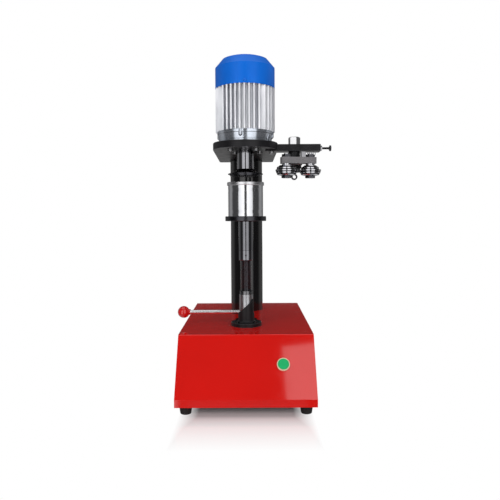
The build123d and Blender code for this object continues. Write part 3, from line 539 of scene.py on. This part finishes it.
def tube(path, radius, sides):
    # round tube along a path: point = path + radius (cos a side + sin a over), ring square to the path
    ahead = np.gradient(path, axis=0)
    ahead /= np.linalg.norm(ahead, axis=1, keepdims=True)
    side = np.cross(ahead, np.array((0.0, 0.0, 1.0)))
    side /= np.linalg.norm(side, axis=1, keepdims=True)
    over = np.cross(side, ahead)
    angle = (np.arange(sides) * 2 * pi / sides)[None, :, None]
    return path[:, None, :] + radius * (np.cos(angle) * side[:, None, :] + np.sin(angle) * over[:, None, :])


def dress(made, finish, body):
    made.data.materials.append(finish)
    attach(made, body)


rodThread = dict(pitch=3.0 * mm, depth=0.9 * mm, steep=1.25, sunk=0.12, fade=1.5 * mm, endDrop=0.6 * mm,
                 sides=44, perTurn=8)


def makeRodThread():
    # screw surface: r = crest - depth (1 - notch), notch a triangle wave of height / pitch - angle / 2 pi
    # with its tips cut flat; at both ends it fades to a plain radius, endDrop smaller
    low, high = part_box("threaded_rod")
    crest = (high[0] - low[0]) / 2
    rows = int((high[2] - low[2]) / rodThread["pitch"] * rodThread["perTurn"])
    height = np.linspace(low[2], high[2], rows)[:, None]
    angle = (np.arange(rodThread["sides"]) * 2 * pi / rodThread["sides"])[None, :]
    wave = (height / rodThread["pitch"] - angle / (2 * pi)) % 1.0
    notch = np.clip(rodThread["steep"] * np.abs(2 * wave - 1) - rodThread["sunk"], 0, 1)
    ends = np.clip(np.minimum(height - low[2], high[2] - height) / rodThread["fade"], 0, 1)
    radius = crest - rodThread["depth"] * (1 - notch) * ends - rodThread["endDrop"] * (1 - ends)
    x, y = spindleX + radius * np.cos(angle), spindleY + radius * np.sin(angle)
    points = np.stack([x, y, height + 0 * angle], -1)
    made = capped("rodThread", points)
    dress(made, finishes["dark_steel"], "lift")
    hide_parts("threaded_rod")


makeRodThread()
print("lift thread made")

armSpring = dict(radius=4.6 * mm, wire=0.85 * mm, wireSides=8, turns=5.5, perTurn=20, fromBlock=5 * mm,
                 reach=13 * mm, below=5.5 * mm)


def makeArmSpring():
    # helix: middle line plus radius (cos t side + sin t up), t growing along the line
    low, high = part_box("stop_block")
    axle = spotOf("second_roller")
    level = high[2] - armSpring["below"]
    start = np.array(((low[0] + high[0]) / 2 + armSpring["fromBlock"], (low[1] + high[1]) / 2, level))
    end = np.array((axle[0] + armSpring["reach"], axle[1], level))
    up = np.array((0.0, 0.0, 1.0))
    side = np.cross((end - start) / np.linalg.norm(end - start), up)
    t = np.linspace(0, armSpring["turns"] * 2 * pi, int(armSpring["turns"] * armSpring["perTurn"]))[:, None]
    path = start + (end - start) * t / t[-1] + armSpring["radius"] * (np.cos(t) * side + np.sin(t) * up)
    made = capped("armSpring", tube(path, armSpring["wire"], armSpring["wireSides"]))
    dress(made, finishes["machined_steel"], "arm")


makeArmSpring()
print("arm spring made")

pivotScrew = dict(flats=25.0 * mm, shank=8.0 * mm, turn=-15.0, chamfer=2.4 * mm, slope=0.6, washer=0.8 * mm,
                  washerShare=0.96, middleShare=0.02, topRows=28, wallRows=5, sides=144)


def hexRadius(angle, flats, turn):
    # distance from the axis to a hexagon's side: (flats / 2) / cos(angle from the middle of that side)
    around = (angle - turn + pi / 6) % (pi / 3) - pi / 6
    return flats / 2 / np.cos(around)


def makePivotScrew():
    # head: share s of the hexagon's radius, its top lowered by slope times the radius beyond a start circle
    low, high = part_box("pivot_bolt")
    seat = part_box("support_bar")[1][2]
    axisX, axisY = (low[0] + high[0]) / 2, (low[1] + high[1]) / 2
    sides, wallRows, washer = pivotScrew["sides"], pivotScrew["wallRows"], pivotScrew["washer"]
    angle = (np.arange(sides) * 2 * pi / sides)[None, :]
    side = hexRadius(angle, pivotScrew["flats"], radians(-90 + pivotScrew["turn"]))
    share = np.linspace(pivotScrew["middleShare"], 1.0, pivotScrew["topRows"])[:, None]
    radius = share * side
    start = pivotScrew["flats"] / 2 - pivotScrew["chamfer"] / 2
    topZ = high[2] - np.clip(radius - start, 0, None) * pivotScrew["slope"]
    down = np.linspace(1, 0, wallRows + 1)[1:, None]
    wallZ = down * (topZ[-1:] - seat - washer) + seat + washer
    neck = np.full((2, sides), pivotScrew["flats"] / 2 * pivotScrew["washerShare"])
    neckZ = np.array([seat + washer, seat])[:, None] + 0 * angle
    shank = np.full((2, sides), pivotScrew["shank"])
    shankZ = np.array([seat, low[2]])[:, None] + 0 * angle
    radii = np.concatenate([radius, np.repeat(side, wallRows, axis=0), neck, shank])
    heights = np.concatenate([topZ, wallZ, neckZ, shankZ])
    points = np.stack([axisX + radii * np.cos(angle), axisY + radii * np.sin(angle), heights], -1)
    made = capped("pivotScrew", points, smooth=False)
    dress(made, finishes["bright_bolt"], "stand")
    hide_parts("pivot_bolt")


makePivotScrew()
print("pivot screw made")

stopScrew = dict(thread=2.75 * mm, pitch=1.0 * mm, depth=0.35 * mm, headRadius=7.0 * mm, neck=3.5 * mm,
                 ridges=30, ridgeDepth=0.45 * mm, head=4.5 * mm, shoulder=1.6 * mm, rimInset=1.0 * mm,
                 bevel=0.8 * mm, dish=0.9 * mm, dishRim=0.55, dishFloor=0.5, step=0.01 * mm, sides=120,
                 perTurn=8)


def makeStopScrew():
    # about X: a fine thread, then a head with r = headRadius - ridgeDepth |triangle wave of ridges x angle|
    low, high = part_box("adjusting_screw")
    axisY, axisZ = (low[1] + high[1]) / 2, (low[2] + high[2]) / 2
    angle = (np.arange(stopScrew["sides"]) * 2 * pi / stopScrew["sides"])[None, :]
    headStart = high[0] - stopScrew["head"]
    along = np.linspace(low[0], headStart - stopScrew["shoulder"],
                        int((headStart - low[0]) / stopScrew["pitch"] * stopScrew["perTurn"]))[:, None]
    wave = np.abs(2 * ((along / stopScrew["pitch"] - angle / (2 * pi)) % 1.0) - 1)
    threadRadius = stopScrew["thread"] - stopScrew["depth"] * wave
    ridge = np.abs(2 * ((angle * stopScrew["ridges"] / (2 * pi)) % 1.0) - 1)
    rim = stopScrew["headRadius"] - stopScrew["ridgeDepth"] * ridge
    smallRim = np.full_like(rim, stopScrew["headRadius"] - stopScrew["rimInset"])
    neck = np.full_like(rim, stopScrew["neck"])
    radius = np.concatenate([threadRadius, neck, neck, smallRim, rim, rim, smallRim,
                             smallRim * stopScrew["dishRim"], smallRim * stopScrew["dishFloor"]])
    bevel, step = stopScrew["bevel"], stopScrew["step"]
    steps = np.array([headStart - stopScrew["shoulder"], headStart, headStart + step, headStart + bevel,
                      high[0] - bevel, high[0], high[0] - step, high[0] - stopScrew["dish"]])[:, None]
    x = np.concatenate([along, steps]) + 0 * angle
    points = np.stack([x, axisY + radius * np.cos(angle), axisZ + radius * np.sin(angle)], -1)
    made = capped("stopScrew", points, False)
    dress(made, finishes["dark_steel"], "adjuster")
    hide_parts("adjusting_screw")


makeStopScrew()
print("stop screw made")

canRings = dict(bead=0.28 * mm, pitch=2.6 * mm, count=3, inset=7.0 * mm, wall=0.35 * mm, flare=0.25 * mm,
                footHeight=1.6 * mm, bottom=0.4 * mm, floor=1.2 * mm, floorShare=0.9, rows=220, sides=160)


def makeCanBody():
    # spun wall: r = outer - flare - bead (1 - cos) / 2 over each bead, one group of beads near each end,
    # and the foot widens by flare as the square of its share of footHeight
    low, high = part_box("can_body")
    outer = (high[0] - low[0]) / 2
    axisX, axisY = (low[0] + high[0]) / 2, (low[1] + high[1]) / 2
    height = np.linspace(low[2], high[2], canRings["rows"])[:, None]
    fromEnd = np.minimum(height - low[2], high[2] - height) - canRings["inset"]
    within = (fromEnd > 0) & (fromEnd < canRings["pitch"] * canRings["count"])
    wave = np.where(within, (1 - np.cos(2 * pi * fromEnd / canRings["pitch"])) / 2, 0.0)
    foot = np.clip(1 - (height - low[2]) / canRings["footHeight"], 0, 1) ** 2
    radius = outer - canRings["flare"] - canRings["bead"] * wave + canRings["flare"] * foot
    inner = np.full((1, 1), outer - canRings["wall"] - canRings["flare"])
    middle = inner * canRings["floorShare"]
    radii = np.concatenate([middle, radius, inner, inner, middle])
    floor = low[2] + canRings["floor"]
    heights = np.concatenate([[[low[2] + canRings["bottom"]]], height, [[high[2]]], [[floor]], [[floor]]])
    angle = (np.arange(canRings["sides"]) * 2 * pi / canRings["sides"])[None, :]
    x, y = axisX + radii * np.cos(angle), axisY + radii * np.sin(angle)
    made = capped("canWall", np.stack([x, y, heights + 0 * angle], -1))
    dress(made, finishes["tinplate"], "turntable")
    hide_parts("can_body")


makeCanBody()
print("can made")
